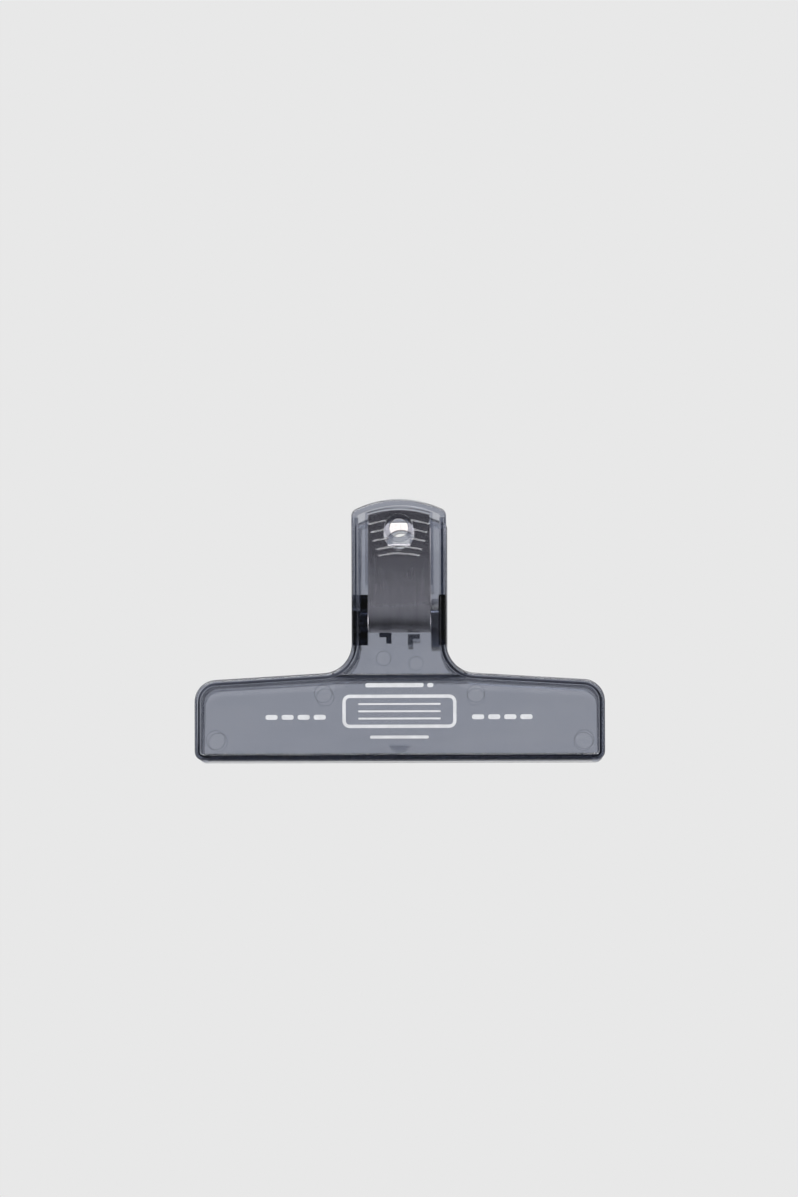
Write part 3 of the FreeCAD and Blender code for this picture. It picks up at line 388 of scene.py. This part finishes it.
def build_spring():
    bm = bmesh.new()
    outline, low = leg_outline()
    n = len(outline)
    n_low = 20
    rings = 7

    def add_sheet(off):
        grid = {}

        def vert(x, s):
            key = (round(x, 5), round(s, 5))
            if key not in grid:
                grid[key] = bm.verts.new(strip_place(x, s, off))
            return grid[key]

        def face(vs):
            vs = [v for i, v in enumerate(vs) if v is not vs[i - 1]]
            if len(vs) > 2:
                bm.faces.new(vs)

        edges = []          # boundary loops, as lists of vertices
        for sg in (-1, 1):
            loops = []
            for k in range(rings + 1):
                t = (k / rings) ** 1.25
                loop = []
                for x, u in outline:
                    dx, du = x, u - HOLE_UP
                    d = math.hypot(dx, du)
                    ix, iu = dx / d * HOLE_R, HOLE_UP + du / d * HOLE_R
                    px, pu = ix + (x - ix) * t, iu + (u - iu) * t
                    loop.append(vert(px, sg * (ARC_LEN / 2 + pu)))
                loops.append(loop)
            for k in range(rings):
                for i in range(n):
                    j = (i + 1) % n
                    face([loops[k][i], loops[k][j], loops[k + 1][j], loops[k + 1][i]])
            edges.append(loops[0])
        xs = [-HALF_W + 2 * HALF_W * i / n_low for i in range(n_low + 1)]
        reach = ARC_LEN / 2 + low
        m_leg, m_arc = 10, 40
        ss = [-reach + low * i / m_leg for i in range(m_leg)]
        ss += [-ARC_LEN / 2 + ARC_LEN * i / m_arc for i in range(m_arc)]
        ss += [ARC_LEN / 2 + low * i / m_leg for i in range(m_leg + 1)]
        rows = [[vert(x, s) for x in xs] for s in ss]
        for a, b in zip(rows, rows[1:]):
            for i in range(n_low):
                face([a[i], a[i + 1], b[i + 1], b[i]])
        # the strip's outer outline, once round
        loop = []
        top = outline[:len(outline) - (n_low - 1)]
        for x, u in top:
            loop.append(vert(x, -(ARC_LEN / 2 + u)))
        for r in rows[1:-1]:
            loop.append(r[0])
        for x, u in reversed(top):
            loop.append(vert(x, ARC_LEN / 2 + u))
        for r in reversed(rows[1:-1]):
            loop.append(r[-1])
        edges.append(loop)
        return edges

    outer = add_sheet(THICK / 2)
    inner = add_sheet(-THICK / 2)
    for a, b in zip(outer, inner):
        m = len(a)
        for i in range(m):
            j = (i + 1) % m
            if a[i] is a[j]:
                continue
            bm.faces.new([a[i], a[j], b[j], b[i]])
    bmesh.ops.recalc_face_normals(bm, faces=bm.faces)
    rim = [e for e in bm.edges if len(e.link_faces) == 2 and e.calc_face_angle(0) > 1.0]
    bmesh.ops.bevel(bm, geom=rim, offset=0.00014, segments=3, profile=0.5, affect="EDGES",
                    clamp_overlap=True)
    bmesh.ops.recalc_face_normals(bm, faces=bm.faces)
    me = bpy.data.meshes.new("spring_strip")
    bm.to_mesh(me)
    bm.free()
    for f in me.polygons:
        f.use_smooth = True
    ob = bpy.data.objects.new("spring_strip", me)
    SCENE.collection.objects.link(ob)
    me.materials.append(MAT_STEEL)
    return ob


spring = build_spring()
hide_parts("leaf_spring")
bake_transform(spring)


# ---------------------------------------------------------------- printed marks
# Plain bars and a blank label frame, in white ink on the front jaw's panel.
INK = 0.035                         # film thickness, mm


def ink_piece(name, loops_list):
    """A thin closed film for each (outer, hole) pair of loops given as (x, v)."""
    bm = bmesh.new()
    for outer, hole in loops_list:
        def ring(loop, w):
            return [bm.verts.new(on_lever(x, v, PANEL + w)) for x, v in loop]
        if hole is None:
            lo, hi = ring(outer, 0.004), ring(outer, INK)
            bm.faces.new(hi)
            bm.faces.new(list(reversed(lo)))
            for i in range(len(lo)):
                j = (i + 1) % len(lo)
                bm.faces.new([lo[i], lo[j], hi[j], hi[i]])
        else:
            ol, oh = ring(outer, 0.004), ring(outer, INK)
            il, ih = ring(hole, 0.004), ring(hole, INK)
            for i in range(len(ol)):
                j = (i + 1) % len(ol)
                bm.faces.new([oh[i], oh[j], ih[j], ih[i]])
                bm.faces.new([ol[j], ol[i], il[i], il[j]])
                bm.faces.new([ol[i], ol[j], oh[j], oh[i]])
                bm.faces.new([il[j], il[i], ih[i], ih[j]])
    bmesh.ops.recalc_face_normals(bm, faces=bm.faces)
    me = bpy.data.meshes.new(name)
    bm.to_mesh(me)
    bm.free()
    ob = bpy.data.objects.new(name, me)
    SCENE.collection.objects.link(ob)
    me.materials.append(MAT_INK)
    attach(ob, "front_lever")
    return ob


def pill(x0, x1, v0, v1, r, n=7):
    """Rounded rectangle, counter-clockwise."""
    pts = []
    for cx, cv, a0 in ((x1 - r, v0 + r, -90), (x1 - r, v1 - r, 0), (x0 + r, v1 - r, 90), (x0 + r, v0 + r, 180)):
        for i in range(n):
            a = math.radians(a0 + 90 * i / (n - 1))
            pts.append((cx + r * math.cos(a), cv + r * math.sin(a)))
    return pts


label = []
label.append((pill(-18.8, 18.8, 10.6, 21.6, 2.4), pill(-17.7, 17.7, 11.7, 20.5, 1.3)))
for v in (13.7, 16.1, 18.5):
    half = 13.6
    label.append((pill(-half, half, v - 0.3, v + 0.3, 0.28), None))
ink_piece("print_label_frame", label)
ink_piece("print_bar_top", [(pill(-11.2, 8.0, 24.0, 25.4, 0.6), None), (pill(9.2, 11.2, 24.0, 25.4, 0.6), None)])
ink_piece("print_bar_bottom", [(pill(-9.7, 9.7, 7.1, 8.1, 0.45), None)])
ink_piece("print_bar_left", [(pill(-44.2 + 5.3 * i, -44.2 + 5.3 * i + 4.0, 13.4, 15.0, 0.7), None) for i in range(4)])
ink_piece("print_bar_right", [(pill(23.9 + 5.3 * i, 23.9 + 5.3 * i + 4.0, 13.4, 15.0, 0.7), None) for i in range(4)])


# ---------------------------------------------------------------- studio
PALE = 0.807


def floor():
    me = bpy.data.meshes.new("studio_floor")
    bm = bmesh.new()
    z = -0.0002
    n = 64
    rings = [0.0, 0.4, 1.2, 3.0, 8.0]
    verts = [[bm.verts.new((0, 0, z))]]
    for r in rings[1:]:
        verts.append([bm.verts.new((r * math.cos(2 * math.pi * i / n), r * math.sin(2 * math.pi * i / n), z))
                      for i in range(n)])
    for i in range(n):
        bm.faces.new([verts[0][0], verts[1][i], verts[1][(i + 1) % n]])
    for a, b in zip(verts[1:], verts[2:]):
        for i in range(n):
            j = (i + 1) % n
            bm.faces.new([a[i], b[i], b[j], a[j]])
    bm.to_mesh(me)
    bm.free()
    ob = bpy.data.objects.new("studio_floor", me)
    SCENE.collection.objects.link(ob)
    m, nt, out = material("studio_floor")
    co = nt.nodes.new("ShaderNodeTexCoord").outputs["Object"]
    d = nt.nodes.new("ShaderNodeBsdfDiffuse")
    mix = nt.nodes.new("ShaderNodeMix")
    mix.data_type = "RGBA"
    mix.inputs["A"].default_value = (0.80, 0.80, 0.80, 1)
    mix.inputs["B"].default_value = (0.83, 0.83, 0.83, 1)
    link(nt, noise(nt, co, 6.0, 3.0, 0.5), mix.inputs["Factor"])
    link(nt, mix.outputs["Result"], d.inputs["Color"])
    # the floor has an upper side only: the photograph's angle is a little
    # under the level of the surface that the clip stands on
    clear = nt.nodes.new("ShaderNodeBsdfTransparent")
    pick = nt.nodes.new("ShaderNodeMixShader")
    # towards its edge it runs out into the white of the studio
    length = nt.nodes.new("ShaderNodeVectorMath")
    length.operation = "LENGTH"
    link(nt, co, length.inputs[0])
    fade = ramp(nt, length.outputs["Value"], 0.22, 0.9, 0.0, 1.0, smooth=True)
    under = nt.nodes.new("ShaderNodeNewGeometry").outputs["Backfacing"]
    link(nt, math_node(nt, "MAXIMUM", under, fade), pick.inputs["Fac"])
    link(nt, d.outputs["BSDF"], pick.inputs[1])
    link(nt, clear.outputs["BSDF"], pick.inputs[2])
    link(nt, pick.outputs["Shader"], out.inputs["Surface"])
    me.materials.append(m)
    ob.visible_glossy = False
    return ob


floor()

def studio_world():
    """A white studio. What a polished face mirrors is the same white all
    round, but with the dark opening that the camera stands in."""
    world = bpy.data.worlds.new("studio")
    SCENE.world = world
    world.use_nodes = True
    nt = world.node_tree
    nt.nodes.clear()
    d = nt.nodes.new("ShaderNodeTexCoord").outputs["Generated"]
    dot = nt.nodes.new("ShaderNodeVectorMath")
    dot.operation = "DOT_PRODUCT"
    front = Vector((0.03, -math.cos(math.radians(7)), -math.sin(math.radians(7)))).normalized()
    dot.inputs[1].default_value = front
    link(nt, d, dot.inputs[0])
    c = dot.outputs["Value"]
    up = nt.nodes.new("ShaderNodeSeparateXYZ")
    link(nt, d, up.inputs["Vector"])
    around = math_node(nt, "ADD", ramp(nt, up.outputs["Z"], -0.15, 0.25, 0.22, 2.0, smooth=True),
                       ramp(nt, up.outputs["Z"], 0.55, 0.85, 0.0, 4.2, smooth=True))
    hole = ramp(nt, c, math.cos(math.radians(27)), math.cos(math.radians(12)), 0.0, 1.0, smooth=True)
    opening = math_node(nt, "ADD", math_node(nt, "MULTIPLY", around, math_node(nt, "SUBTRACT", 1.0, hole)),
                        math_node(nt, "MULTIPLY", hole, 0.12))
    behind = ramp(nt, c, -0.2, 0.35, PALE, 0.0, smooth=True)
    before = math_node(nt, "MULTIPLY", opening, ramp(nt, c, -0.2, 0.1, 0.0, 1.0, smooth=True))
    mirrored = math_node(nt, "ADD", behind, before)
    path = nt.nodes.new("ShaderNodeLightPath")
    pick = math_node(nt, "MULTIPLY", path.outputs["Is Glossy Ray"],
                     math_node(nt, "SUBTRACT", 1.0, path.outputs["Is Transmission Ray"]))
    mix = nt.nodes.new("ShaderNodeMix")
    mix.data_type = "FLOAT"
    mix.inputs["A"].default_value = PALE
    link(nt, pick, mix.inputs["Factor"])
    link(nt, mirrored, mix.inputs["B"])
    bg = nt.nodes.new("ShaderNodeBackground")
    bg.inputs["Color"].default_value = (1, 1, 1, 1)
    link(nt, mix.outputs["Result"], bg.inputs["Strength"])
    out = nt.nodes.new("ShaderNodeOutputWorld")
    link(nt, bg.outputs["Background"], out.inputs["Surface"])


studio_world()
SCENE.view_settings.view_transform = "Standard"
SCENE.view_settings.look = "None"
SCENE.view_settings.exposure = 0.0
SCENE.view_settings.gamma = 1.0
SCENE.cycles.max_bounces = 20
SCENE.cycles.transmission_bounces = 20
SCENE.cycles.glossy_bounces = 8
SCENE.cycles.transparent_max_bounces = 12


def area(name, place, at, size, power, colour=(1, 1, 1)):
    li = bpy.data.lights.new(name, "AREA")
    li.shape = "RECTANGLE"
    li.size, li.size_y = size
    li.energy = power
    li.color = colour
    ob = bpy.data.objects.new(name, li)
    SCENE.collection.objects.link(ob)
    ob.location = place
    ob.rotation_euler = (Vector(at) - Vector(place)).to_track_quat("-Z", "Y").to_euler()
    return ob


area("soft_key", (-0.35, -0.62, 0.62), (0, 0, 0.05), (0.55, 0.4), 3.2)
area("soft_top", (0.15, 0.15, 0.75), (0, 0, 0.05), (0.5, 0.35), 1.6)

# ---------------------------------------------------------------- camera
AZ, EL = math.radians(1.7), math.radians(-8.0)
DIST = 0.899
target = on_lever(0, 53.25, PANEL)
back = Vector((math.sin(AZ) * math.cos(EL), -math.cos(AZ) * math.cos(EL), math.sin(EL)))
cam = bpy.data.cameras.new("camera")
cam.sensor_fit = "VERTICAL"
cam.sensor_height = 36.0
cam.lens = 82.0
cam.clip_start = 0.01
co = bpy.data.objects.new("camera", cam)
SCENE.collection.objects.link(co)
co.location = target + back * DIST
co.rotation_euler = (-back).to_track_quat("-Z", "Y").to_euler()
SCENE.camera = co

bpy.context.view_layer.update()
